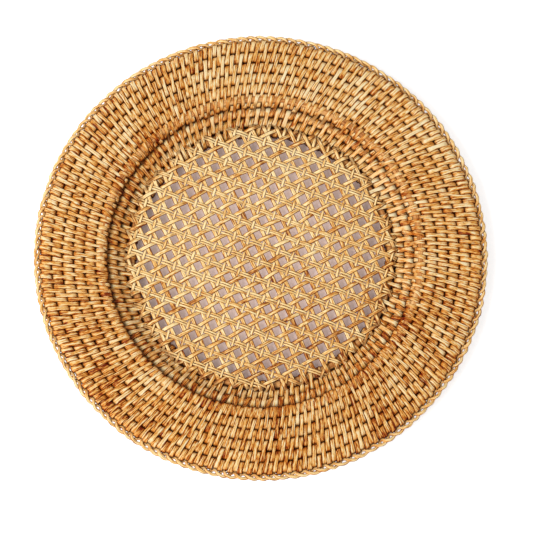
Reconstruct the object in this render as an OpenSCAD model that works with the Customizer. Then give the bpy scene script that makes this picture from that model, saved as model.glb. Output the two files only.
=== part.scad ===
// Round charger plate of lashed rattan hoops with an open cane-woven centre.
// The plate's axis is Z, and it stands on z = 0. X and Y lie in the table top.

/* [Rim and well] */
// Diameter over the lace edge
outer_d = 330; // [290:1:370]
// Number of hoops across the flat of the rim, the shoulder hoop included
rim_rows = 6; // [4:1:7]
// Height of the edge hoop above the shoulder hoop
edge_rise = 1.2; // [0:0.1:4]
// Distance from the shoulder hoop to the upper wall hoop, centre to centre
shoulder_reach = 10.5; // [8.5:0.1:12]
// Slope of the step under the shoulder hoop
shoulder_slope = 41; // [20:1:60]
// Slope of the wall between its two hoops
wall_slope = 41; // [20:1:55]
// Slope from the base hoop up to the lower wall hoop
base_slope = 4; // [0:1:10]

/* [Hoops] */
// Diameter of every hoop
hoop_d = 6.4; // [5:0.1:7.5]

/* [Lashings] */
// Number of stitches round each rim row
rim_stitches = 138; // [96:6:144]
// Thickness of the split rattan strip
strip_t = 0.6; // [0.4:0.05:0.9]
// Clearance of a strip to the hoop that it wraps and to the next strip
strip_gap = 0.1; // [0.05:0.01:0.2]
// Least gap between two stitches that lie side by side on a rim hoop
stitch_gap = 0.15; // [0.1:0.05:0.4]
// Width of the strip on the wall and the base
wall_strip_w = 2.9; // [2:0.1:3.2]
// Depth worn off the base stitches where they stand on the table
foot_wear = 0.3; // [0.1:0.05:0.35]

/* [Lace edge] */
// Diameter of a lace strand where it swings outward
lace_d = 1.7; // [1.2:0.1:2]
// Angle at which the two lace strands swing across the edge line
lace_swing = 50; // [35:1:55]

/* [Cane panel] */
// Distance from one warp pair to the next
warp_pitch = 12.3; // [10:0.1:14]
// Distance from one weft strand to the next
weft_pitch = 11.5; // [10:0.1:14]
// Width of a diagonal strand
diagonal_w = 2.8; // [1.5:0.1:3.2]
// Width of each of the two strands in a warp pair
warp_w = 1.55; // [0.8:0.05:1.8]
// Gap between the two strands of a warp pair
warp_gap = 0.15; // [0.05:0.05:0.4]
// Width of a weft strand
weft_w = 2.2; // [1.2:0.1:2.8]
// Thickness of a cane strand
cane_t = 0.5; // [0.3:0.05:0.7]
// Direction of the warp
warp_angle = -20.4; // [-90:0.1:90]
// Angle from the warp round to the weft, which the weaver has pulled a little askew
weave_angle = 92.8; // [86:0.1:94]
// Place of an open square's centre, across the plate
square_x = -5.5; // [-6:0.1:6]
// Place of the same centre, along the plate
square_y = 3.8; // [-6:0.1:6]

/* [Hidden] */
$fn = 64;
// Clearance between the cane and what it rests on or ends against
seat_gap = 0.05;
// Deepest that a flat on the round of a hoop may lie inside the true circle
hoop_flat = 0.01;
// Band at the edge of the panel in which no strand is laid
end_strip = 4.2;
// How much thinner a lace strand is where it swings inward
lace_taper = 0.1;
// Angle by which an inward swing runs on inside the outward ones beside it
lace_lap = 2;

wall_rows = 2;
upper_wall = rim_rows + 1;
lower_wall = rim_rows + 2;
base = rim_rows + wall_rows + 1;

// A strip wraps a hoop between these two radii
wrap_in = hoop_d / 2 + strip_gap;
wrap_out = wrap_in + strip_t;
// In each valley between two hoops the ends of two stitches pass side by side
row_pitch = 2 * wrap_out + strip_gap;

// One stitch of a rim row takes one step. The well has two stitches to every three of
// the rim.
step = 360 / rim_stitches;
rim_share = 3;
well_share = 2;
well_stitches = rim_stitches * well_share / rim_share;
well_step = 360 / well_stitches;
shoulder_phase = rim_rows % 2 * step / 2;
// The wall stitches lie midway between the stitches that come down from the shoulder
wall_phase = shoulder_phase + step / 2;
base_phase = wall_phase + well_step / 2;

// The lace strands cross on a circle at the stitches and swing to both sides of it
lace_out = lace_swing + step / 2;
lace_in = lace_swing - step / 2;
lace_r = (outer_d - lace_d) / 2 / (cos(step / 2) + sin(step / 2) * tan(lace_out / 2));
lace_inner_r = lace_r * (cos(step / 2) - sin(step / 2) * tan(lace_in / 2)) - (lace_d - lace_taper) / 2;

// Radii of the hoops, from the edge inward
edge_r = lace_inner_r - seat_gap - wrap_out;
shoulder_r = edge_r - (rim_rows - 1) * row_pitch;
upper_wall_r = shoulder_r - shoulder_reach * cos(shoulder_slope);
lower_wall_r = upper_wall_r - row_pitch * cos(wall_slope);
base_r = lower_wall_r - row_pitch * cos(base_slope);

// Heights of the hoops, from the table upward
base_z = wrap_out - foot_wear;
lower_wall_z = base_z + row_pitch * sin(base_slope);
upper_wall_z = lower_wall_z + row_pitch * sin(wall_slope);
shoulder_z = upper_wall_z + shoulder_reach * sin(shoulder_slope);
edge_z = shoulder_z + edge_rise;

hoop_facets = ceil(180 / acos(1 - hoop_flat / edge_r));

// The cane ends short of the lower wall hoop and lies on the base stitches
panel_r = lower_wall_r - wrap_out - seat_gap;
panel_z = base_z + wrap_out / cos(base_slope) + (panel_r - base_r) * tan(base_slope) + seat_gap;

hoop_names = [
    for (i = [1:rim_rows]) str("rim_hoop_", i),
    for (i = [1:wall_rows]) str("wall_hoop_", i),
    "base_hoop"
];
rim_lashing_names = [for (i = [1:rim_rows - 1]) str("rim_lashing_", i)];

// Radius and height of a hoop's centre line. Hoop 1 is at the edge.
function hoop_at(i) =
    i <= rim_rows ? [
        edge_r - (i - 1) * row_pitch,
        edge_z - (i - 1) * edge_rise / (rim_rows - 1)
    ] :
    i == upper_wall ? [upper_wall_r, upper_wall_z] :
    i == lower_wall ? [lower_wall_r, lower_wall_z] :
    [base_r, base_z];

// Width that leaves the gap between neighbours at the inner end of a rim stitch
function stitch_w(i) = (hoop_at(i)[0] - wrap_out) * sin(step / 2) - stitch_gap;

// Taut outline round two hoops whose centres lie this far apart along X
module taut_outline(span, radius) {
    for (x = [0, span])
        translate([x, 0])
            rotate(90)
                circle(radius);
    if (span > 0)
        translate([0, -radius])
            square([span, 2 * radius]);
}

// Closed stitch round hoops first and last, which may be the same, across the X axis
module stitch(first, last, width) {
    start = hoop_at(first);
    way = hoop_at(last) - start;
    translate([start[0], 0, start[1]])
        rotate([90, -atan2(way[1], way[0]), 0])
            linear_extrude(width, center = true)
                difference() {
                    taut_outline(norm(way), wrap_out);
                    taut_outline(norm(way), wrap_in);
                }
}

module hoop(i) {
    color("#c58a45")
        translate([0, 0, hoop_at(i)[1]])
            rotate_extrude($fn = hoop_facets)
                translate([hoop_at(i)[0], 0])
                    circle(d = hoop_d);
}

// Short stitches round the edge hoop alone, between those of the first rim row
module edge_lashing() {
    color("#d8a55c")
        for (k = [0:rim_stitches - 1])
            rotate(k * step)
                stitch(1, 1, stitch_w(2));
}

// Row of stitches that binds rim hoop i to the next one in. Rows alternate like bricks.
module rim_lashing(i) {
    phase = i % 2 * step / 2;
    color("#d8a55c")
        for (k = [0:rim_stitches - 1])
            rotate(k * step + phase)
                stitch(i + 1, i, stitch_w(i + 1));
}

// Two in three stitches of the shoulder row come down to the wall and take in its upper
// hoop. The third goes round the shoulder hoop alone.
module shoulder_lashing() {
    free_w = stitch_w(upper_wall);
    wall_w = 2 * free_w - wall_strip_w;
    color("#cf9a50")
        for (k = [0:rim_stitches - 1])
            rotate(k * step + shoulder_phase)
                if (k % rim_share < well_share)
                    stitch(upper_wall, rim_rows, wall_w);
                else
                    stitch(rim_rows, rim_rows, free_w);
}

// Stitches that bind the two wall hoops
module wall_lashing() {
    color("#e3c084")
        for (k = [0:well_stitches - 1])
            rotate(k * well_step + wall_phase)
                stitch(lower_wall, upper_wall, wall_strip_w);
}

// Stitches that bind the base hoop to the wall, set between those of the wall like bricks.
// The table has worn them flat.
module base_lashing() {
    worn = 2 * foot_wear;
    color("#d2a05a")
        difference() {
            for (k = [0:well_stitches - 1])
                rotate(k * well_step + base_phase)
                    stitch(base, lower_wall, wall_strip_w);
            translate([0, 0, -worn])
                cylinder(h = worn, r = lower_wall_r);
        }
}

// One swing of a lace strand between two crossings, to the outside or the inside
module lace_arc(outward) {
    half = outward ? lace_out : lace_in;
    radius = lace_r * sin(step / 2) / sin(half);
    centre = lace_r * cos(step / 2) + (outward ? -1 : 1) * radius * cos(half);
    reach = outward ? half : half + lace_lap;
    translate([centre, 0, 0])
        rotate((outward ? 0 : 180) - reach)
            rotate_extrude(angle = 2 * reach)
                translate([radius, 0])
                    circle(d = outward ? lace_d : lace_d - lace_taper);
}

// Lace strand that swings outward on every second stitch
module lace(first) {
    color("#e6c587")
        for (k = [0:rim_stitches - 1])
            rotate((k + 0.5) * step)
                lace_arc(k % 2 == first);
}

module lace_upper() {
    translate([0, 0, edge_z + lace_d / 2])
        lace(0);
}

module lace_lower() {
    translate([0, 0, edge_z - lace_d / 2])
        lace(1);
}

// Steps from one open square to the next, along the warp and along the weft
along_warp = weft_pitch / sin(weave_angle) * [cos(warp_angle), sin(warp_angle)];
weft_angle = warp_angle + weave_angle;
along_weft = warp_pitch / sin(weave_angle) * [cos(weft_angle), sin(weft_angle)];

// The diagonals frame the open squares. Warp and weft run through the squares between.
square_area = warp_pitch * weft_pitch / sin(weave_angle);
way_1 = along_warp + along_weft;
way_2 = along_weft - along_warp;
diagonal_1_pitch = square_area / norm(way_1);
diagonal_2_pitch = square_area / norm(way_2);

// Offsets of the lines of one direction that fit the panel with this reach to each side.
// They pass the open square half a pitch away.
function line_offsets(angle, pitch, reach) =
    let (
        square = square_y * cos(angle) - square_x * sin(angle),
        lines = ceil(panel_r / pitch) + 1
    )
    [
        for (k = [-lines:lines])
            let (y = square + (k + 0.5) * pitch)
                if (abs(y) + reach < panel_r - end_strip) y
    ];

// Straight cane strands at these offsets from the axis, each cut to the round of the panel
module strands(angle, offsets, width, layer) {
    rotate(angle)
        for (y = offsets) {
            edge = abs(y) + width / 2;
            length = 2 * sqrt(panel_r * panel_r - edge * edge);
            translate([-length / 2, y - width / 2, panel_z + layer * cane_t])
                cube([length, width, cane_t]);
        }
}

module cane_warp() {
    pair_half = (warp_w + warp_gap) / 2;
    middles = line_offsets(warp_angle, warp_pitch, pair_half + warp_w / 2);
    color("#e8c583")
        strands(warp_angle, [for (y = middles) each [y - pair_half, y + pair_half]], warp_w, 0);
}

module cane_weft() {
    color("#edd092")
        strands(weft_angle, line_offsets(weft_angle, weft_pitch, weft_w / 2), weft_w, 1);
}

// Set of diagonal strands along this way
module cane_diagonal(way, pitch, layer) {
    angle = atan2(way[1], way[0]);
    strands(angle, line_offsets(angle, pitch, diagonal_w / 2), diagonal_w, layer);
}

module cane_diagonal_1() {
    color("#e5bd77")
        cane_diagonal(way_1, diagonal_1_pitch, 2);
}

module cane_diagonal_2() {
    color("#e2b870")
        cane_diagonal(way_2, diagonal_2_pitch, 3);
}

for (i = [1:len(hoop_names)])
    hoop(i);
edge_lashing();
for (i = [1:rim_rows - 1])
    rim_lashing(i);
shoulder_lashing();
wall_lashing();
base_lashing();
lace_upper();
lace_lower();
cane_warp();
cane_weft();
cane_diagonal_1();
cane_diagonal_2();
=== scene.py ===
# Looks of a round charger plate: lashed rattan hoops, a twisted lace edge and a woven cane centre.
# Lengths are in metres and angles in radians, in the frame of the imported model.
import math

import bpy
import numpy as np
from mathutils import Matrix, Vector


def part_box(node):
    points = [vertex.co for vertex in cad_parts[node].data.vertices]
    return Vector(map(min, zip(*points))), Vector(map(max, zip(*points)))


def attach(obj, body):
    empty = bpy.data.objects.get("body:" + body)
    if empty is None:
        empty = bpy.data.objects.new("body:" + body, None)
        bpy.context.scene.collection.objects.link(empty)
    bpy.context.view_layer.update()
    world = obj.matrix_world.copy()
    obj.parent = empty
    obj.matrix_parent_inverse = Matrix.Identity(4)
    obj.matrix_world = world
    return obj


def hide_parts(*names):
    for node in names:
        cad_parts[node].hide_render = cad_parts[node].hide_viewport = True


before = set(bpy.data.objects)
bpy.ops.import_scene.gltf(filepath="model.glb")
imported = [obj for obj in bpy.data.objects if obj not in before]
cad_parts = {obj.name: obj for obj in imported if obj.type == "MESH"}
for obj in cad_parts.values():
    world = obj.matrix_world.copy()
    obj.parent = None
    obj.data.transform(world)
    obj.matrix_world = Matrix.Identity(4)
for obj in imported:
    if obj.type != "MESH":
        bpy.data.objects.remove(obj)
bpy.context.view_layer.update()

MM = 0.001
rng = np.random.default_rng(7)

# Counts round the plate
RIM_ROWS = 6
RIM_STITCHES = 138
WELL_STITCHES = 92
STEP = 2 * math.pi / RIM_STITCHES
WELL_STEP = 2 * math.pi / WELL_STITCHES

# The well's stitches lie closer together on one side of the plate, by this share
CROWDING = 0.08
CROWDED_SIDE = math.radians(140)

# Split rattan strip of the lashings: how far it clears its rod, how thick its edges are, and how much
# higher its middle is
STRIP_GAP = 0.1 * MM
STRIP_EDGE = 0.4 * MM
STRIP_CROWN = 0.22 * MM

# Widths of the strips. A rim strip takes this share of half a step. Every strip is wider at its ends and
# narrower at its middle, by the share STRIP_SPREAD.
RIM_FILL = 1.02
STRIP_SPREAD = 0.19
WALL_STRIP = 3.6 * MM
BASE_STRIP = 3.5 * MM
YOKE_STRIP = 3.2 * MM

# How far the short stitches of the edge reach outward
EDGE_REACH = 1.2 * MM

# How one strip differs from the next: most slack all round and at its ends, and the spread of its width,
# place and slant
STRIP_SLACK = 0.22 * MM
STRIP_LOOSE = 0.45 * MM
WIDTH_SPREAD = 0.05
PLACE_SPREAD = 0.12 * MM
SLANT_SPREAD = 0.035

# Slant of the rim's stitches: its mean, and how it changes round the plate, as waves with
# their number of swings, height and place of the first crest
STITCH_SLANT = math.radians(10.5)
SLANT_WAVES = [
    (2, math.radians(2.5), math.radians(155)),
    (3, math.radians(1.4), math.radians(229)),
    (4, math.radians(2.3), math.radians(63)),
]

# Stitches bulge from the shoulder hoop, inward and down at this fall, by a length between these two that
# changes round the plate by the share SAG_CHANGE
SHOULDER_SAG = (0.9 * MM, 2.9 * MM)
SAG_CHANGE = 0.7
SHOULDER_FALL = math.radians(53)

# Groove between the wall and the shoulder: its mean place on the way between their hoops, how far it
# shifts, and the side of the plate where it is nearest to the wall and the sag is largest
GROOVE = 0.45
GROOVE_SHIFT = 0.15
GROOVE_SIDE = math.radians(60)

# How far the stitches dip into the groove, how this changes round the plate and from stitch to stitch, and
# on which side of the plate it is deepest
SHOULDER_DIP = 1.5 * MM
DIP_CHANGE = 0.25 * MM
DIP_SPREAD = 0.3 * MM
DEEP_SIDE = math.radians(155)

# Sides of the plate where the strips of its rim, its well and its cane are palest
PALE_SIDE = math.radians(75)
# The well's strips are paler where the wall faces the lamp and darker on the far side, as painted light
# and shade
WALL_PALE_SIDE = math.radians(30)
CANE_PALE_SIDE = math.radians(125)

# Tones of a row's strips: their mean, their spread, and how much paler they are on the pale side
EDGE_TONES = (0.69, 0.1, 0.1)
RIM_TONES = (0.66, 0.1, 0.07)
SHOULDER_TONES = (0.57, 0.12, 0.09)
WALL_TONES = (0.75, 0.1, 0.11)
BASE_TONES = (0.66, 0.09, 0.08)

# Share of its tone that a strip has from the one before it
TONE_KEEP = 0.45

# Tone of the lace, the mean and the spread of the tones of the cane's four sets of strands, and how much
# paler the cane is at its pale edge than at its middle
LACE_TONE = 0.76
WARP_TONES = (0.75, 0.1)
WEFT_TONES = (0.75, 0.1)
DIAGONAL_TONES = [(0.61, 0.09), (0.66, 0.09)]
CANE_SHADE = 0.11

# Rings of a stitch: in each quarter of a turn, and inside each straight or dipping run
TURN_RINGS = 5
RUN_RINGS = 3
DIP_RINGS = 9

# Lace edge: rings for each stitch, sides of a strand, its width, and how far it sinks into the edge
LACE_RINGS = 10
LACE_SIDES = 8
LACE_W = 2.4 * MM
LACE_BITE = 0.6 * MM

# Eyes of the lace: how far their crossings lie outward as a share of the swing, the power that shapes
# them, the spread of their size, the spread of the crossings along the edge in stitches, and how much
# painted shade a strand gets where it lies on the inner side, as in a crevice
LACE_SKEW = 0.45
LACE_POWER = 0.5
LACE_SWAY = 0.2
LACE_SHIFT = 0.06
LACE_INNER_SHADE = 0.45

# Cane weave: pitches, the direction of the warp, the angle from it to the weft, the middle of an open
# square, and the widths of the strands with the gap in each pair of the warp
WARP_PITCH = 12.3 * MM
WEFT_PITCH = 11.5 * MM
WARP_ANGLE = math.radians(-20.4)
WEAVE_ANGLE = math.radians(92.8)
OPEN_SQUARE = np.array([-5.5, 3.8]) * MM
WARP_W = 1.6 * MM
WARP_SPLIT = 0.1 * MM
WEFT_W = 2.1 * MM
DIAGONAL_W = 3.0 * MM
CANE_T = 0.5 * MM

# Heights in the weave: how far the top strands lie above its middle, how far each set bends in the same
# measure, and between which places it bends, from 0 at an open square to 1 midway between two
CANE_LEVEL = 0.6 * MM
WARP_BEND, WARP_PLACES = 1.5, (0.3, 0.75)
WEFT_BEND, WEFT_PLACES = 1.5, (0.3, 0.7)
DIAGONAL_BEND, DIAGONAL_PLACES = 2.0, (0.25, 0.75)

# Strands of the cane: distance between rings, fewest rings, lines to try on each side of the open square,
# width of the band at the edge that has none, and the spread of a strand's place
CANE_RING = 0.9 * MM
FEWEST_RINGS = 8
CANE_LINES = 12
CANE_END_BAND = 4.2 * MM
STRAND_SPREAD = 0.1 * MM

# Slow drift of the cane: its size, its number of waves and the range of their lengths
CANE_WANDER = 0.45 * MM
WANDER_COUNT = 8
WANDER_LENGTH = (35 * MM, 90 * MM)

# Ends of the cane: rings, how far they turn down, the share that ends on the wall instead, how far short
# of the wall's lower hoop these end, and from which share of the way they bend
TUCK_RINGS = 9
TUCK_TURN = math.radians(100)
ENDS_ON_WALL = 0.3
WALL_LAP = (2.4 * MM, 4.4 * MM)
LAP_BEND = 0.3

# Map for baking: how many times as long as wide a cell is, the clear share at its borders, and the cells
# of a lace strand and of a cane strand
CELL_LENGTH = 5
CELL_MARGIN = 0.04
LACE_CELLS = RIM_STITCHES // 6
CANE_CELLS = 3

# Camera: its angle off the plate's axis, the side it stands on, its distance from the pivot, the point
# it looks at, and its lens and sensor in millimetres
CAMERA_TILT = math.radians(11.75)
CAMERA_TURN = math.radians(-92.9)
CAMERA_DISTANCE = 1.506
CAMERA_PIVOT = Vector((0, 0, 12 * MM))
CAMERA_AIM = Vector((4.0 * MM, -8.4 * MM, 12 * MM))
CAMERA_LENS = 139.6
CAMERA_SENSOR = 36

# Light: the lamp's place, power in watts and side, and the strength of the even fill
LAMP_PLACE = (-1.4, -0.6, 1.9)
LAMP_POWER = 54.0
LAMP_SIZE = 1.5
FILL = 0.52
WHITE = (1, 1, 1, 1)

# Floor: half its side, its colours round the plate, under the well and under the rim, where the dark
# colour is a painted shadow, and how far the white part is shifted, so that it shows through the eyes
# of the raised lace
FLOOR_HALF = 4.0
PALE_FLOOR = (0.95, 0.95, 0.95, 1)
WELL_FLOOR = (0.95, 0.76, 0.7, 1)
PAINTED_RIM_SHADOW = (0.11, 0.055, 0.03, 1)
FLOOR_SHIFT = (0.2 * MM, 3.5 * MM, 0)

# Glow of the floor where it is seen: round the plate, and under the well, where it is painted light
# that brightens the floor seen through the cane and fades between these shares of the base hoop's radius
OUTER_GLOW = 0.58
WELL_PAINTED_LIGHT = 0.34
WELL_FADE = (0.5, 1.2)


def hoop_of(node):
    """Centre line of a hoop, as (radius, height), and the radius of its rod."""
    low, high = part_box(node)
    rod = (high.z - low.z) / 2
    return np.array([max(high.x, high.y) - rod, (low.z + high.z) / 2]), rod


RIM_HOOPS = [f"rim_hoop_{i}" for i in range(1, RIM_ROWS + 1)]
HOOPS = RIM_HOOPS + ["wall_hoop_1", "wall_hoop_2", "base_hoop"]
rim = [hoop_of(node)[0] for node in RIM_HOOPS]
edge, shoulder = rim[0], rim[-1]
upper_wall = hoop_of("wall_hoop_1")[0]
lower_wall = hoop_of("wall_hoop_2")[0]
base = hoop_of("base_hoop")[0]
ROD = hoop_of("base_hoop")[1]
WRAP = ROD + STRIP_GAP


def linear(red, green, blue):
    """Colour for a shader from the 0 to 255 values that a screen shows."""
    shown = np.array([red, green, blue]) / 255
    low = shown / 12.92
    high = ((shown + 0.055) / 1.055) ** 2.4
    return (*np.where(shown <= 0.04045, low, high), 1.0)


def smooth_step(low, high, value):
    """0 up to the low value, 1 from the high one on, and smooth between them."""
    t = np.clip((value - low) / (high - low), 0, 1)
    return t * t * (3 - 2 * t)


def unit(vectors):
    """Vectors of length 1 in the same directions."""
    return vectors / np.linalg.norm(vectors, axis=-1, keepdims=True)


def stitch_twist(radius, angle):
    """Angle by which the slanted stitches run back as they go outward."""
    slant = STITCH_SLANT + sum(size * np.cos(n * angle - place) for n, size, place in SLANT_WAVES)
    return -np.tan(slant) * np.log(radius / rim[2][0])


class Weaving:
    """Collects swept strands and makes one mesh piece of them."""

    def __init__(self):
        self.points = []
        self.faces = []
        self.maps = []
        self.cells = 0
        self.values = {name: [] for name in ("along", "across", "crevice", "tone", "seed")}
        self.count = 0

    def add(self, rings, along, across, crevice, tone, closed, folds=1):
        """Adds a strand of n rings of m points. along and crevice have a value for each ring, tone has one
        for each ring or one for all, and across has one for each point of a ring. The strand's map is
        folded into this many cells."""
        n, m = rings.shape[:2]
        steps = n if closed else n - 1
        i, j = np.meshgrid(np.arange(steps), np.arange(m), indexing="ij")
        corner_i = np.stack([i, i, i + 1, i + 1], -1).reshape(-1, 4)
        corner_j = np.stack([j, j + 1, j + 1, j], -1).reshape(-1, 4)
        self.faces.append(self.count + corner_i % n * m + corner_j % m)
        per_fold = math.ceil(steps / folds)
        fold = i.reshape(-1) // per_fold
        u = (corner_i - fold[:, None] * per_fold) / per_fold
        cell = np.repeat(self.cells + fold[:, None], 4, 1)
        self.maps.append(np.stack([u, corner_j / m, cell], -1))
        if not closed:
            self.caps(n, m)
        self.cells += folds
        self.points.append(rings.reshape(-1, 3))
        self.values["along"].append(np.repeat(along, m))
        self.values["across"].append(np.tile(across, n))
        self.values["crevice"].append(np.repeat(crevice, m))
        self.values["tone"].append(np.repeat(np.broadcast_to(tone, n), m))
        self.values["seed"].append(np.full(n * m, rng.uniform(0, 100)))
        self.count += n * m

    def caps(self, n, m):
        """Closes the two ends of an open strand with four-cornered faces. m is even."""
        first, last = self.count, self.count + (n - 1) * m
        for k in range(m // 2 - 1):
            a, b, c, d = k, k + 1, m - 2 - k, m - 1 - k
            near = [first + a, first + d, first + c, first + b]
            far = [last + a, last + b, last + c, last + d]
            for corners in (near, far):
                self.faces.append(np.array([corners]))
                self.maps.append(np.array([[[0, 0, self.cells]] * 4], float))

    def build(self, name, material, slot, *nodes):
        """Makes the piece, which stands for these nodes."""
        mesh = bpy.data.meshes.new(name)
        faces = np.concatenate(self.faces).tolist()
        mesh.from_pydata(np.concatenate(self.points).tolist(), [], faces)
        for key, parts in self.values.items():
            layer = mesh.attributes.new(key, "FLOAT", "POINT")
            layer.data.foreach_set("value", np.concatenate(parts).astype(np.float32))
        self.lay_out(mesh)
        mesh.polygons.foreach_set("use_smooth", np.ones(len(mesh.polygons), bool))
        mesh.materials.append(material)
        piece = bpy.data.objects.new(name, mesh)
        bpy.context.scene.collection.objects.link(piece)
        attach(piece, "root")
        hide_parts(*nodes)

    def lay_out(self, mesh):
        """Map for baking, on which every strand has cells of its own."""
        along, around, cell = np.moveaxis(np.concatenate(self.maps), -1, 0)
        columns = max(1, round(math.sqrt(self.cells / CELL_LENGTH)))
        rows = math.ceil(self.cells / columns)
        inside = 1 - 2 * CELL_MARGIN
        u = (cell % columns + CELL_MARGIN + inside * along) / columns
        v = (cell // columns + CELL_MARGIN + inside * around) / rows
        layer = mesh.uv_layers.new(name="OFBake")
        layer.data.foreach_set("uv", np.stack([u, v], -1).astype(np.float32).reshape(-1))


def strip_section(width):
    """Section of a split strip: places across, heights, and the share across."""
    across = np.array([-0.97, 0.97, 1.0, 0.7, 0.0, -0.7, -1.0])
    rise = np.array([0, 0, STRIP_EDGE, 0, 0, 0, STRIP_EDGE])
    crown = STRIP_EDGE + STRIP_CROWN * (1 - across**2)
    rise[3:6] = crown[3:6]
    return across * width / 2, rise, across


def stitch_loop(first, last, radius, dip=0.0, place=0.5):
    """Loop round two hoops, as points and normals in (radius, height), and how deep each point is
    sunk. It starts at its inner end and runs outward over the top, where it can dip at a place
    between the hoops."""
    way = last - first
    span = np.linalg.norm(way)
    axis = way / span
    up = np.array([-axis[1], axis[0]])
    quarter = np.linspace(0, math.pi / 2, TURN_RINGS + 1)
    run = np.linspace(0, 1, (DIP_RINGS if dip else RUN_RINGS) + 2)[1:-1]
    power = math.log(0.5) / math.log(place)
    sunk = dip * np.sin(math.pi * run**power) ** 2
    slope = dip * math.pi / span * power * run ** (power - 1) * np.sin(2 * math.pi * run**power)

    def turn(centre, angles):
        normals = np.cos(angles)[:, None] * axis + np.sin(angles)[:, None] * up
        return centre + radius * normals, normals, np.zeros(len(angles))

    over = first + run[:, None] * way + (radius - sunk)[:, None] * up
    under = first + (1 - run)[:, None] * way - radius * up
    parts = [
        turn(first, math.pi - quarter),
        (over, unit(up + slope[:, None] * axis), np.sqrt(sunk * dip) / radius),
        turn(last, math.pi / 2 - 2 * quarter),
        (under, np.tile(-up, (len(run), 1)), np.zeros(len(run))),
        turn(first, -math.pi / 2 - quarter[:-1]),
    ]
    return tuple(np.concatenate(column) for column in zip(*parts))


def add_stitch(weaving, first, last, angle, width, tone, slant=0.0, lead=0.0, dip=0.0, floor=None):
    """Adds one stitch round two hoops at this angle. It leans as the rim's stitches do, and by a slant of
    its own. Its inner end can lead by an angle, it can dip between the hoops, and it is worn flat where it
    stands on the floor, if there is one."""
    slack = rng.uniform(0, STRIP_SLACK)
    place = GROOVE - GROOVE_SHIFT * math.cos(angle - GROOVE_SIDE)
    points, normals, depth = stitch_loop(first, last, WRAP + slack, dip, place)
    x, rise, across = strip_section(width)
    radius = points[:, None, 0] + rise * normals[:, None, 0]
    height = points[:, None, 1] + rise * normals[:, None, 1]
    middle = (first[0] + last[0]) / 2
    lean = stitch_twist(points[:, 0], angle) + slant * (points[:, 0] / middle - 1)
    if lead:
        lean = lean + lead * (last[0] - points[:, 0]) / (last[0] - first[0])
    share = (points[:, 0] - middle) / ((last[0] - first[0]) / 2 + WRAP)
    swell = 1 + STRIP_SPREAD * (2 * share**2 - 1)
    turn = angle + lean[:, None] + swell[:, None] * x / first[0]
    if floor is not None:
        height = np.maximum(height, floor)
    rings = np.stack([radius * np.cos(turn), radius * np.sin(turn), height], -1)
    reach = np.linalg.norm(np.diff(points, axis=0, append=points[:1]), axis=1)
    length = np.concatenate([[0], np.cumsum(reach)[:-1]])
    along = np.minimum(length, reach.sum() - length)
    # Painted shade: the strip darkens where it turns down round its hoops and where it dips into the
    # groove
    crevice = np.maximum(1 - np.abs(normals[:, 1]), depth)
    weaving.add(rings, along, across, crevice, tone, closed=True)


def row_tones(angles, tones, pale):
    """Tones of a row's strips. Each is partly like the one before, as lengths of one strip are, and they
    are paler towards the pale side of the plate."""
    mean, spread, paler = tones
    draws = rng.normal(0, 1, len(angles))
    drift = np.zeros(len(angles))
    for k in range(len(angles)):
        drift[k] = TONE_KEEP * drift[k - 1] + math.sqrt(1 - TONE_KEEP**2) * draws[k]
    return np.clip(mean + spread * drift, 0, 1) + paler * np.cos(angles - pale)


def add_row(weaving, pairs, angles, width, tones, pale=PALE_SIDE, leads=None, dips=None):
    """Adds a row of stitches: which hoops each one binds, where, their width, their tones and on which
    side they are palest, by which angle each inner end leads, and how far each stitch dips between its
    hoops."""
    leads = np.zeros(len(angles)) if leads is None else leads
    dips = np.zeros(len(angles)) if dips is None else dips
    drawn_tones = row_tones(angles, tones, pale)
    for pair, angle, tone, lead, dip in zip(pairs, angles, drawn_tones, leads, dips):
        first = pair[0] - np.array([rng.uniform(0, STRIP_LOOSE), 0])
        last = pair[1] + np.array([rng.uniform(0, STRIP_LOOSE), 0])
        drawn_width = width * rng.normal(1, WIDTH_SPREAD)
        drawn_angle = angle + rng.normal(0, PLACE_SPREAD) / first[0]
        slant = rng.normal(0, SLANT_SPREAD)
        add_stitch(weaving, first, last, drawn_angle, drawn_width, tone, slant, lead, dip)


def rim_width(hoop):
    """Width of a rim strip that nearly fills its place on this hoop."""
    return RIM_FILL * hoop[0] * STEP / 2


def shoulder_sag(angle):
    """How far a stitch bulges from the shoulder hoop at this angle, inward and down."""
    size = rng.uniform(*SHOULDER_SAG) * (1 + SAG_CHANGE * math.cos(angle - GROOVE_SIDE))
    return size * np.array([-math.cos(SHOULDER_FALL), -math.sin(SHOULDER_FALL)])


def make_rim_rows(material):
    """The short edge stitches, and the rows that bind each rim hoop to the next."""
    count = np.arange(RIM_STITCHES)
    row = Weaving()
    reach = edge + np.array([EDGE_REACH, 0])
    add_row(row, [(edge, reach)] * RIM_STITCHES, count * STEP, rim_width(edge), EDGE_TONES)
    row.build("edge_stitches", material, "rim_strip", "edge_lashing")
    for i in range(1, RIM_ROWS):
        row = Weaving()
        angles = (count + i % 2 / 2) * STEP
        pairs = [(rim[i], rim[i - 1])] * RIM_STITCHES
        if i == RIM_ROWS - 1:
            pairs = [(rim[i] + shoulder_sag(angle), rim[i - 1]) for angle in angles]
        add_row(row, pairs, angles, rim_width(rim[i]), RIM_TONES)
        row.build(f"rim_stitches_{i}", material, "rim_strip", f"rim_lashing_{i}")


def well_angles(phase):
    """Angles of a row of the well's stitches, counted from this one."""
    angles = phase + np.arange(WELL_STITCHES) * WELL_STEP
    return angles - CROWDING * np.sin(angles - CROWDED_SIDE)


def wall_angles():
    """Angles of the stitches round both wall hoops."""
    return well_angles(STEP / 2)


def base_angles():
    """Angles of the stitches round the base hoop, midway between those of the wall."""
    return well_angles((STEP + WELL_STEP) / 2)


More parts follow.
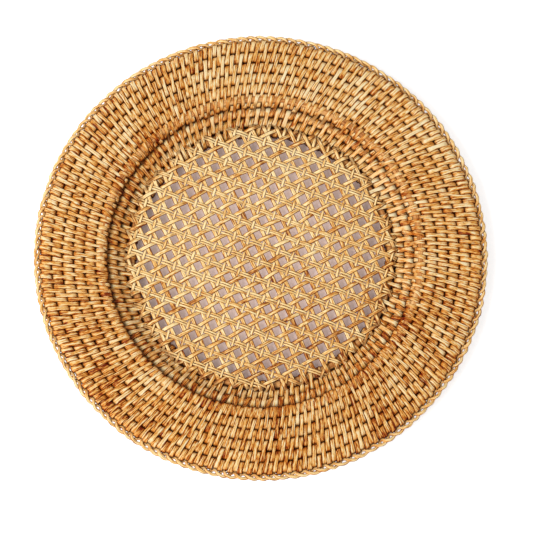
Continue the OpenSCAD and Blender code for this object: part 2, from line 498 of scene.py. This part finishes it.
def make_shoulder(material):
    """Shoulder stitches. Two in three dip into the groove, come down to the wall and end between the
    wall's stitches. The others go round the shoulder hoop alone."""
    row = Weaving()
    angles = np.arange(RIM_STITCHES) * STEP
    pairs = [(shoulder + shoulder_sag(angle), shoulder) for angle in angles]
    leads, dips = np.zeros(RIM_STITCHES), np.zeros(RIM_STITCHES)
    for angle in base_angles():
        k = round(angle / STEP)
        pairs[k % RIM_STITCHES] = (upper_wall, shoulder)
        leads[k % RIM_STITCHES] = angle - k * STEP
        dip = SHOULDER_DIP + DIP_CHANGE * math.cos(angle - DEEP_SIDE)
        dips[k % RIM_STITCHES] = dip + rng.uniform(-DIP_SPREAD, DIP_SPREAD)
    add_row(row, pairs, angles, YOKE_STRIP, SHOULDER_TONES, leads=leads, dips=dips)
    row.build("shoulder_stitches", material, "rim_strip", "shoulder_lashing")


def make_wall(material):
    """Pale stitches round both wall hoops, and those that bind the base hoop to the wall."""
    row = Weaving()
    pairs = [(lower_wall, upper_wall)] * WELL_STITCHES
    add_row(row, pairs, wall_angles(), WALL_STRIP, WALL_TONES, WALL_PALE_SIDE)
    row.build("wall_stitches", material, "wall_strip", "wall_lashing")
    row = Weaving()
    angles = base_angles()
    for angle, tone in zip(angles, row_tones(angles, BASE_TONES, WALL_PALE_SIDE)):
        add_stitch(row, base, lower_wall, angle, BASE_STRIP, tone, floor=0.0)
    row.build("base_stitches", material, "wall_strip", "base_lashing")


def wavering(count, per_swing, spread):
    """Smooth random values round a closed ring, with one draw for each swing."""
    draws = rng.normal(0, spread, count)
    places = np.arange(count * per_swing) / per_swing
    low = np.floor(places).astype(int)
    mix = smooth_step(0, 1, places - low)
    return draws[low % count] * (1 - mix) + draws[(low + 1) % count] * mix


def make_lace(material):
    """Two strands twisted round each other along the edge, with an open eye at each stitch."""
    low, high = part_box("lace_upper")
    strand = (high.z - low.z) / 2
    outer = max(high.x, high.y)
    inner = edge[0] + WRAP + STRIP_EDGE + STRIP_CROWN - LACE_BITE
    middle = (outer + inner) / 2
    swing = (outer - inner - LACE_W) / 2
    count = RIM_STITCHES * LACE_RINGS
    turns = np.arange(count) / LACE_RINGS
    sides = np.arange(LACE_SIDES) / LACE_SIDES * 2 * math.pi
    for sign, name in ((1, "upper"), (-1, "lower")):
        wide = sign * swing * (1 + wavering(RIM_STITCHES, LACE_RINGS, LACE_SWAY))
        thick = 1 + wavering(RIM_STITCHES, LACE_RINGS, LACE_SWAY / 2)
        side_now = np.sin(math.pi * turns)
        bulge = side_now * np.abs(side_now) ** LACE_POWER
        uneven = 1 - sign * LACE_SKEW * np.sign(side_now)
        radius = middle + LACE_SKEW * swing + wide * bulge * uneven
        height = edge[1] + sign * strand * np.cos(math.pi * turns)
        angle = turns * STEP + stitch_twist(middle, turns * STEP)
        angle = angle + wavering(RIM_STITCHES, LACE_RINGS, LACE_SHIFT) * STEP
        path = np.stack([radius * np.cos(angle), radius * np.sin(angle), height], -1)
        along_path = unit(np.roll(path, -1, 0) - np.roll(path, 1, 0))
        side = unit(np.cross([0, 0, 1], along_path))
        up = np.cross(along_path, side)
        flat, tall = LACE_W / 2 * np.cos(sides), strand * np.sin(sides)
        spread = flat[None, :, None] * side[:, None] + tall[None, :, None] * up[:, None]
        rings = path[:, None] + thick[:, None, None] * spread
        reach = np.linalg.norm(np.diff(path, axis=0, append=path[:1]), axis=1)
        along = np.concatenate([[0], np.cumsum(reach)[:-1]])
        # Painted shade on each strand where it lies on the inner side
        crevice = LACE_INNER_SHADE * (0.5 - 0.5 * sign * side_now)
        lace = Weaving()
        lace.add(rings, along, np.cos(sides), crevice, LACE_TONE, closed=True, folds=LACE_CELLS)
        lace.build(f"lace_strand_{name}", material, "lace_strand", f"lace_{name}")


def weave_ways():
    """Steps from one open square to the next, along the warp and along the weft."""
    weft_angle = WARP_ANGLE + WEAVE_ANGLE
    skew = math.sin(WEAVE_ANGLE)
    along_warp = WEFT_PITCH / skew * np.array([math.cos(WARP_ANGLE), math.sin(WARP_ANGLE)])
    along_weft = WARP_PITCH / skew * np.array([math.cos(weft_angle), math.sin(weft_angle)])
    return along_warp, along_weft


# Waves of the cane's drift: direction, length, push and phase
WANDERS = [
    (
        rng.uniform(0, math.pi),
        rng.uniform(*WANDER_LENGTH),
        rng.normal(0, CANE_WANDER / 2, 2),
        rng.uniform(0, 2 * math.pi),
    )
    for _ in range(WANDER_COUNT)
]


def wander(points):
    """Slow drift of the weave from its ruled lines, the same for every strand at a place."""
    drift = np.zeros_like(points)
    for turn, length, push, phase in WANDERS:
        place = points @ np.array([math.cos(turn), math.sin(turn)]) / length
        drift += np.sin(2 * math.pi * place + phase)[:, None] * push
    return drift


def cane_section(width):
    """Section of a flat cane strand: places across, heights, and the share across."""
    across = np.array([-1.0, 1.0, 0.95, 0.4, -0.4, -0.95])
    rise = np.array([-0.5, -0.5, 0.3, 0.5, 0.5, 0.3]) * CANE_T
    return across * width / 2, rise, across


def tuck_path(distance, on_stitch):
    """End of a strand at this distance from the axis, from where it leaves the flat of the panel: places
    along it, and heights. It bends down between base hoop and wall, or runs on and ends on the base
    stitches, as it always does where it meets one."""
    if on_stitch or rng.random() < ENDS_ON_WALL:
        radius = np.linspace(base[0], lower_wall[0] - rng.uniform(*WALL_LAP), TUCK_RINGS + 1)[1:]
        rest = WRAP + STRIP_EDGE + STRIP_CROWN + CANE_T / 2
        way = (radius - base[0]) / (lower_wall[0] - base[0])
        seat = base[1] + way * (lower_wall[1] - base[1]) + rest
        bend = smooth_step(LAP_BEND, 1, np.arange(1, TUCK_RINGS + 1) / TUCK_RINGS)
        height = (1 - bend) * panel_height() + bend * seat
    else:
        drop = np.linspace(0, TUCK_TURN, TUCK_RINGS + 1)[1:]
        gap = (lower_wall[0] - base[0]) / 2
        radius = base[0] + gap * np.sin(np.minimum(drop, math.pi / 2))
        height = base[1] + (panel_height() - base[1]) * np.cos(drop)
    return np.sqrt(radius**2 - distance**2), height


def panel_height():
    """Height of the middle of the weave."""
    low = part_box("cane_warp")[0].z
    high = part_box("cane_diagonal_2")[1].z
    return (low + high) / 2


def add_strand(weaving, way, offset, width, level, tone):
    """Adds one cane strand along this way, at this offset from the axis. level gives its height
    in the weave for points in the plane."""
    left = np.array([-way[1], way[0]])
    offset = offset + rng.normal(0, STRAND_SPREAD)
    flat = math.sqrt(base[0] ** 2 - offset**2)
    count = max(FEWEST_RINGS, round(2 * flat / CANE_RING))
    places = np.linspace(-flat, flat, count)
    ends = []
    for sign in (-1, 1):
        point = sign * flat * way + offset * left
        angle = math.atan2(point[1], point[0])
        clear = (WALL_STRIP + width) / 2 / base[0]
        off = angle - stitch_twist(base[0], angle) - base_angles()
        on_stitch = np.abs((off + math.pi) % (2 * math.pi) - math.pi).min() < clear
        ends.append(tuck_path(offset, on_stitch))
    s = np.concatenate([-ends[0][0][::-1], places, ends[1][0]])
    ruled = s[:, None] * way + offset * left
    rising = np.linspace(0, 1, TUCK_RINGS)
    fade = np.concatenate([rising, np.ones(count), rising[::-1]])
    plan = ruled + wander(ruled) * fade[:, None]
    height = np.concatenate([ends[0][1][::-1], np.full(count, panel_height()), ends[1][1]])
    height = height + level(ruled) * fade
    path = np.concatenate([plan, height[:, None]], 1)
    ahead = np.gradient(path, axis=0)
    side = unit(np.cross([0, 0, 1], ahead))
    up = unit(np.cross(ahead, side))
    x, rise, across = cane_section(width * rng.normal(1, WIDTH_SPREAD))
    rings = path[:, None] + x[None, :, None] * side[:, None] + rise[None, :, None] * up[:, None]
    along = np.concatenate([[0], np.cumsum(np.linalg.norm(np.diff(path, axis=0), axis=1))])
    pale_way = np.array([math.cos(CANE_PALE_SIDE), math.sin(CANE_PALE_SIDE)])
    tones = tone + CANE_SHADE * (plan @ pale_way) / base[0]
    # Painted shade on the ends of the strand, where they tuck down out of the weave
    weaving.add(rings, along, across, 1 - fade, tones, closed=False, folds=CANE_CELLS)


def line_offsets(way, pitch, reach):
    """Offsets of the lines along this way that fit the panel, half a pitch off the open square."""
    left = np.array([-way[1], way[0]])
    limit = base[0] + (lower_wall[0] - base[0]) / 2 - CANE_END_BAND
    lines = OPEN_SQUARE @ left + (np.arange(-CANE_LINES, CANE_LINES) + 0.5) * pitch
    return [y for y in lines if abs(y) + reach < limit]


def make_cane(material):
    """Four sets of strands. The warp passes over the diagonals, the weft under them and over the warp,
    and the first diagonals over the second at the weft and under them at the warp."""
    along_warp, along_weft = weave_ways()
    to_squares = np.linalg.inv(np.stack([along_warp, along_weft], 1))
    warp_way, weft_way = unit(along_warp), unit(along_weft)
    ways = [unit(along_warp + along_weft), unit(along_weft - along_warp)]
    area = WARP_PITCH * WEFT_PITCH / math.sin(WEAVE_ANGLE)
    pitches = [
        area / np.linalg.norm(along_warp + along_weft),
        area / np.linalg.norm(along_weft - along_warp),
    ]

    def squares(points):
        """Places in steps from one open square to the next, along the warp and the weft."""
        return (points - OPEN_SQUARE) @ to_squares.T

    def off_square(points, direction):
        """0 level with an open square in this direction, and 1 midway between two."""
        return np.abs((squares(points)[:, direction] + 0.5) % 1 - 0.5) * 2

    def warp_level(points):
        return CANE_LEVEL * (1 - WARP_BEND * smooth_step(*WARP_PLACES, off_square(points, 0)))

    def weft_level(points):
        return CANE_LEVEL * (WEFT_BEND * smooth_step(*WEFT_PLACES, off_square(points, 1)) - 1)

    def first_level(points):
        bend = smooth_step(*DIAGONAL_PLACES, off_square(points, 1))
        return CANE_LEVEL * (1 - DIAGONAL_BEND * bend)

    def second_level(points):
        return np.zeros(len(points))

    pair = (WARP_W + WARP_SPLIT) / 2
    warp = Weaving()
    for middle in line_offsets(warp_way, WARP_PITCH, pair + WARP_W / 2):
        for offset in (middle - pair, middle + pair):
            add_strand(warp, warp_way, offset, WARP_W, warp_level, rng.normal(*WARP_TONES))
    warp.build("warp_strands", material, "cane_strand", "cane_warp")

    weft = Weaving()
    for offset in line_offsets(weft_way, WEFT_PITCH, WEFT_W / 2):
        add_strand(weft, weft_way, offset, WEFT_W, weft_level, rng.normal(*WEFT_TONES))
    weft.build("weft_strands", material, "cane_strand", "cane_weft")

    levels = (first_level, second_level)
    for i, (way, pitch, level, tones) in enumerate(zip(ways, pitches, levels, DIAGONAL_TONES), 1):
        diagonal = Weaving()
        for offset in line_offsets(way, pitch, DIAGONAL_W / 2):
            add_strand(diagonal, way, offset, DIAGONAL_W, level, rng.normal(*tones))
        diagonal.build(f"diagonal_strands_{i}", material, "cane_strand", f"cane_diagonal_{i}")


# Colours of the rattan from dark to pale, as (tone, colour)
RIM_STOPS = [
    (0.08, linear(110, 32, 4)),
    (0.24, linear(176, 95, 27)),
    (0.4, linear(209, 141, 56)),
    (0.55, linear(221, 169, 90)),
    (0.7, linear(228, 191, 125)),
    (0.9, linear(235, 218, 176)),
]
CANE_STOPS = [
    (0.0, linear(104, 40, 8)),
    (0.2, linear(186, 112, 44)),
    (0.42, linear(221, 165, 88)),
    (0.62, linear(238, 198, 126)),
    (0.88, linear(247, 226, 174)),
]
HOOP_STOPS = [
    (0.2, linear(120, 60, 24)),
    (0.4, linear(186, 118, 58)),
    (0.6, linear(214, 156, 92)),
    (0.85, linear(238, 192, 132)),
]

# Filters for warm stretches and for the painted warm shade of shallow crevices and strip edges, and the
# colours of flecks and of the painted shade in deep crevices
ORANGE = (1.0, 0.86, 0.64, 1.0)
WARM_SHADE = (1.0, 0.69, 0.42, 1.0)
FLECK = linear(118, 58, 22)
DEEP_SHADE = linear(44, 4, 1)

# Grain of a strip, as noise: how often it changes in a metre along the strip and in half its width, and
# its detail
COARSE_GRAIN = (120.0, 2.4, 2.0)
FINE_GRAIN = (150.0, 3.6, 2.0)
BLOTCH_GRAIN = (330.0, 1.3, 2.0)
FLECK_GRAIN = (520.0, 2.5, 1.0)
SPLIT_GRAIN = (90.0, 1.4, 0.0)
WARM_GRAIN = (60.0, 0.5, 1.0)

# How much the coarse grain, the fine grain and the blotches change a strip's tone
GRAIN_SHARES = (1.6, 1.3, 1.1)

# Fine splits along a strip: how sharp they are, and how much darker
SPLIT_SHARPNESS = 14.0
SPLIT_TONE = 0.28

# Where warm stretches and flecks set in and are full, by their noise, and how strong a fleck is
WARM_SPAN = (0.42, 0.62)
FLECK_SPAN = (4.5 / 7, 5.5 / 7)
FLECK_STRENGTH = 0.6

# Where the painted warm shade and the painted dark shade set in and are full, by how deep a place lies
# in a crevice of the strips
WARM_SHADE_SPAN = (0.04, 0.4)
DEEP_SHADE_SPAN = (0.22, 0.7)

# Rod of a hoop: how often its fibres change round the plate and in a metre across, the scale of its slow
# changes, the shares of both in its tone and what is added to them, where painted shade sets in and is
# full by how steep a place is, and how strong the painted shade is
FIBRE_ROUND = 9.0
FIBRE_ACROSS = 2400.0
SLOW_SCALE = 60.0
FIBRE_SHARE, SLOW_SHARE, HOOP_TONE = 1.2, 0.9, -0.55
STEEP_SPAN = (0.15, 0.6)
HOOP_SIDE_SHADE = 0.9

# Gloss of strips and hoops: the specular level, and the roughness, as the share of the grain in it and
# its least
SHEEN = 0.1
STRIP_ROUGHNESS = (0.3, 0.33)
HOOP_ROUGHNESS = (0.25, 0.35)

# Relief of strips and hoops: its strength and its height, and the share of the coarse grain in a strip's
STRIP_RELIEF = (0.5, 0.2 * MM)
HOOP_RELIEF = (0.3, 0.15 * MM)
COARSE_RELIEF = 0.6


class Shader:
    """Short way to write the nodes of a material or a world, which starts empty."""

    def __init__(self, holder):
        self.holder = holder
        holder.use_nodes = True
        self.tree = holder.node_tree
        self.tree.nodes.clear()

    def node(self, kind, inputs=None, **settings):
        made = self.tree.nodes.new(kind)
        for key, value in settings.items():
            setattr(made, key, value)
        for key, value in (inputs or {}).items():
            self.feed(made.inputs[key], value)
        return made

    def feed(self, socket, value):
        if isinstance(value, bpy.types.NodeSocket):
            self.tree.links.new(value, socket)
        else:
            socket.default_value = value

    def value(self, name):
        """Value that the mesh keeps under this name."""
        return self.node("ShaderNodeAttribute", attribute_name=name).outputs["Fac"]

    def math(self, operation, *values):
        made = self.node("ShaderNodeMath", operation=operation)
        for socket, value in zip(made.inputs, values):
            self.feed(socket, value)
        return made.outputs[0]

    def span(self, value, low, high, interpolation="LINEAR"):
        """0 up to the low value and 1 from the high one on."""
        inputs = {"From Min": low, "From Max": high, "Value": value}
        return self.node("ShaderNodeMapRange", inputs, interpolation_type=interpolation).outputs[0]

    def combine(self, x, y, z):
        return self.node("ShaderNodeCombineXYZ", {"X": x, "Y": y, "Z": z}).outputs[0]

    def parts(self, vector):
        """X, Y and Z of a vector."""
        return self.node("ShaderNodeSeparateXYZ", {"Vector": vector}).outputs[:]

    def noise(self, vector, scale, detail, w=None):
        """Noise in three dimensions, or in four where w is given."""
        inputs = {"Vector": vector, "Scale": scale, "Detail": detail}
        if w is None:
            return self.node("ShaderNodeTexNoise", inputs).outputs["Fac"]
        made = self.node("ShaderNodeTexNoise", {**inputs, "W": w}, noise_dimensions="4D")
        return made.outputs["Fac"]

    def ramp(self, factor, stops):
        made = self.node("ShaderNodeValToRGB", {"Fac": factor})
        points = made.color_ramp.elements
        while len(points) < len(stops):
            points.new(1.0)
        for point, (place, colour) in zip(points, stops):
            point.position = place
            point.color = colour
        return made.outputs["Color"]

    def mix(self, factor, a, b, blend="MIX"):
        made = self.node("ShaderNodeMix", data_type="RGBA", blend_type=blend)
        for index, value in ((0, factor), (6, a), (7, b)):
            self.feed(made.inputs[index], value)
        return made.outputs[2]

    def show(self, surface, kind="ShaderNodeOutputMaterial"):
        """Leads this surface to the output, and gives the material or the world."""
        self.tree.links.new(surface.outputs[0], self.node(kind).inputs["Surface"])
        return self.holder

    def finish(self, colour, roughness, height, relief):
        """Principled shader with a bump from this height, and gives the material."""
        strength, depth = relief
        bump = self.node("ShaderNodeBump", {"Height": height, "Strength": strength, "Distance": depth})
        inputs = {"Base Color": colour, "Roughness": roughness, "Specular IOR Level": SHEEN}
        return self.show(self.node("ShaderNodeBsdfPrincipled", {**inputs, "Normal": bump.outputs[0]}))


def strip_material(name, stops, shade_start, edges, crevice_shade, orange):
    """Split rattan: grain and splits along the strip, blotches, flecks and warm stretches. Painted shade
    darkens its edges, by edges in tone, from a share across on, and warms its edges and crevices and
    darkens its deep crevices by a strength of its own; orange says how warm its warm stretches are."""
    s = Shader(bpy.data.materials.new(name))
    along, across, seed = s.value("along"), s.value("across"), s.value("seed")

    def grain(lengthwise, sideways, detail):
        """Noise drawn out along the strip, by how often it changes in each direction."""
        x, y = s.math("MULTIPLY", along, lengthwise), s.math("MULTIPLY", across, sideways)
        return s.noise(s.combine(x, y, seed), 1.0, detail)

    coarse, fine, blotch = grain(*COARSE_GRAIN), grain(*FINE_GRAIN), grain(*BLOTCH_GRAIN)
    # Painted shade: the strip is darker in tone towards its edges
    shaded_edge = s.span(s.math("ABSOLUTE", across), shade_start, 1.0, "SMOOTHSTEP")
    tone = s.math("MULTIPLY_ADD", shaded_edge, -edges, s.value("tone"))
    for noise, share in zip((coarse, fine, blotch), GRAIN_SHARES):
        tone = s.math("ADD", tone, s.math("MULTIPLY_ADD", noise, share, -share / 2))
    off_split = s.math("ABSOLUTE", s.math("SUBTRACT", grain(*SPLIT_GRAIN), 0.5))
    split = s.math("MAXIMUM", s.math("MULTIPLY_ADD", off_split, -SPLIT_SHARPNESS, 1.0), 0.0)
    colour = s.ramp(s.math("MULTIPLY_ADD", split, -SPLIT_TONE, tone), stops)
    warm = s.span(grain(*WARM_GRAIN), *WARM_SPAN)
    colour = s.mix(s.math("MULTIPLY", warm, orange), colour, ORANGE, "MULTIPLY")
    fleck = s.span(grain(*FLECK_GRAIN), *FLECK_SPAN)
    colour = s.mix(s.math("MULTIPLY", fleck, FLECK_STRENGTH), colour, FLECK)
    crevice = s.value("crevice")
    # Painted shade: a warm filter on the edges and in shallow crevices, and a dark colour in deep ones
    warm_shaded = s.math("MAXIMUM", s.span(crevice, *WARM_SHADE_SPAN), shaded_edge)
    colour = s.mix(s.math("MULTIPLY", warm_shaded, crevice_shade), colour, WARM_SHADE, "MULTIPLY")
    deep = s.span(crevice, *DEEP_SHADE_SPAN, "SMOOTHSTEP")
    colour = s.mix(s.math("MULTIPLY", deep, crevice_shade), colour, DEEP_SHADE)
    roughness = s.math("MULTIPLY_ADD", fine, *STRIP_ROUGHNESS)
    height = s.math("ADD", fine, s.math("MULTIPLY", coarse, COARSE_RELIEF))
    return s.finish(colour, roughness, height, STRIP_RELIEF)


def hoop_material():
    """Round rattan rod: long fibres round the plate, slow changes of tone, and painted shade on steep
    sides.
    """
    s = Shader(bpy.data.materials.new("hoop_rattan"))
    place = s.node("ShaderNodeTexCoord").outputs["Object"]
    x, y, z = s.parts(place)
    radius = s.math("SQRT", s.math("ADD", s.math("MULTIPLY", x, x), s.math("MULTIPLY", y, y)))
    cosine, sine = s.math("DIVIDE", x, radius), s.math("DIVIDE", y, radius)
    vector = s.combine(
        s.math("MULTIPLY", cosine, FIBRE_ROUND),
        s.math("MULTIPLY", sine, FIBRE_ROUND),
        s.math("MULTIPLY", radius, FIBRE_ACROSS),
    )
    fibres = s.noise(vector, 1.0, 3.0, w=s.math("MULTIPLY", z, FIBRE_ACROSS))
    slow = s.math("MULTIPLY_ADD", s.noise(place, SLOW_SCALE, 2.0), SLOW_SHARE, HOOP_TONE)
    colour = s.ramp(s.math("MULTIPLY_ADD", fibres, FIBRE_SHARE, slow), HOOP_STOPS)
    upright = s.parts(s.node("ShaderNodeNewGeometry").outputs["Normal"])[2]
    # Painted shade on the steep sides of the rod, between the hoops
    steep = s.span(s.math("SUBTRACT", 1.0, s.math("ABSOLUTE", upright)), *STEEP_SPAN)
    colour = s.mix(s.math("MULTIPLY", steep, HOOP_SIDE_SHADE), colour, DEEP_SHADE)
    return s.finish(colour, s.math("MULTIPLY_ADD", fibres, *HOOP_ROUGHNESS), fibres, HOOP_RELIEF)


def paint_hoops():
    """Gives the hoops, which stay as the CAD made them, their material."""
    material = hoop_material()
    for node in HOOPS:
        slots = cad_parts[node].data.materials
        slots.clear()
        slots.append(material)


def is_seen_ray(s):
    """1 for rays that show the background: from the camera, a mirror or a glass."""
    path = s.node("ShaderNodeLightPath")
    seen = s.math("MAXIMUM", path.outputs["Is Camera Ray"], path.outputs["Is Glossy Ray"])
    return s.math("MAXIMUM", seen, path.outputs["Is Transmission Ray"])


def make_floor():
    """Pale floor, which only shows from above and keeps the plate's shadow. Where it is seen it is tinted
    under the well, where a painted light brightens it, and dark under the rim, as a painted shadow, and it
    lights the plate as a pale floor all over."""
    mesh = bpy.data.meshes.new("floor")
    sides = ((-1, -1), (1, -1), (1, 1), (-1, 1))
    mesh.from_pydata([(FLOOR_HALF * x, FLOOR_HALF * y, 0) for x, y in sides], [], [(0, 1, 2, 3)])
    floor = bpy.data.objects.new("floor", mesh)
    bpy.context.scene.collection.objects.link(floor)
    s = Shader(bpy.data.materials.new("floor"))
    place = s.node("ShaderNodeTexCoord").outputs["Object"]

    def beyond(near, far, centre=(0, 0, 0)):
        """0 up to the near radius and 1 from the far one on, counted from this centre."""
        radius = s.node("ShaderNodeVectorMath", {0: place, 1: centre}, operation="DISTANCE")
        return s.span(radius.outputs["Value"], near, far)

    seen = is_seen_ray(s)
    outside = beyond(edge[0] + ROD / 2, edge[0] + 1.5 * ROD, FLOOR_SHIFT)
    # Painted shadow: where it is seen, the floor under the rim is dark
    under_rim = beyond(base[0] - ROD, base[0] + ROD)
    colour = s.mix(outside, s.mix(under_rim, WELL_FLOOR, PAINTED_RIM_SHADOW), PALE_FLOOR)
    matt = s.node("ShaderNodeBsdfDiffuse", {"Color": s.mix(seen, PALE_FLOOR, colour)})
    # Painted light: where it is seen, the floor under the well glows, fading towards the rim
    in_well = s.math("SUBTRACT", 1.0, beyond(*(base[0] * share for share in WELL_FADE)))
    strength = s.math("MULTIPLY_ADD", outside, OUTER_GLOW, s.math("MULTIPLY", in_well, WELL_PAINTED_LIGHT))
    strength = s.math("MULTIPLY", strength, seen)
    glow = s.node("ShaderNodeEmission", {"Color": colour, "Strength": strength})
    lit = s.node("ShaderNodeAddShader", {0: matt.outputs[0], 1: glow.outputs[0]})
    back = s.node("ShaderNodeNewGeometry").outputs["Backfacing"]
    clear = s.node("ShaderNodeBsdfTransparent")
    both = s.node("ShaderNodeMixShader", {0: back, 1: lit.outputs[0], 2: clear.outputs[0]})
    mesh.materials.append(s.show(both))


def make_world():
    """White behind the plate, and an even fill light."""
    world = bpy.data.worlds.new("studio")
    bpy.context.scene.world = world
    s = Shader(world)
    fill = s.node("ShaderNodeBackground", {"Color": WHITE, "Strength": FILL})
    behind = s.node("ShaderNodeBackground", {"Color": WHITE, "Strength": 1.0})
    both = s.node("ShaderNodeMixShader", {0: is_seen_ray(s), 1: fill.outputs[0], 2: behind.outputs[0]})
    s.show(both, "ShaderNodeOutputWorld")


def make_lamp():
    """Square lamp at the left, which points at the plate."""
    data = bpy.data.lights.new("key", "AREA")
    data.energy = LAMP_POWER
    data.size = LAMP_SIZE
    lamp = bpy.data.objects.new("key", data)
    lamp.location = LAMP_PLACE
    lamp.rotation_euler = (-Vector(LAMP_PLACE)).to_track_quat("-Z", "Y").to_euler()
    bpy.context.scene.collection.objects.link(lamp)


def make_camera():
    """Camera a little off the plate's axis, towards the bottom of the picture."""
    aside = math.sin(CAMERA_TILT)
    away = Vector((aside * math.cos(CAMERA_TURN), aside * math.sin(CAMERA_TURN), math.cos(CAMERA_TILT)))
    data = bpy.data.cameras.new("camera")
    data.lens = CAMERA_LENS
    data.sensor_width = CAMERA_SENSOR
    camera = bpy.data.objects.new("camera", data)
    camera.location = CAMERA_PIVOT + away * CAMERA_DISTANCE
    ahead = (CAMERA_AIM - camera.location).normalized()
    right = ahead.cross(Vector((0, 1, 0))).normalized()
    camera.rotation_euler = Matrix((right, right.cross(ahead), -ahead)).transposed().to_euler()
    bpy.context.scene.collection.objects.link(camera)
    bpy.context.scene.camera = camera


bpy.context.scene.view_settings.view_transform = "Standard"
make_camera()
make_world()
make_lamp()
make_floor()
paint_hoops()
rim_rattan = strip_material("rim_rattan", RIM_STOPS, shade_start=0.72, edges=0.5, crevice_shade=0.95, orange=0.7)
wall_rattan = strip_material("wall_rattan", RIM_STOPS, shade_start=0.72, edges=0.75, crevice_shade=0.95, orange=0.6)
lace_rattan = strip_material("lace_rattan", CANE_STOPS, shade_start=0.6, edges=0.7, crevice_shade=0.6, orange=0.5)
cane_rattan = strip_material("cane_rattan", CANE_STOPS, shade_start=0.66, edges=1.6, crevice_shade=0.5, orange=0.5)
make_rim_rows(rim_rattan)
make_shoulder(rim_rattan)
make_wall(wall_rattan)
make_lace(lace_rattan)
make_cane(cane_rattan)
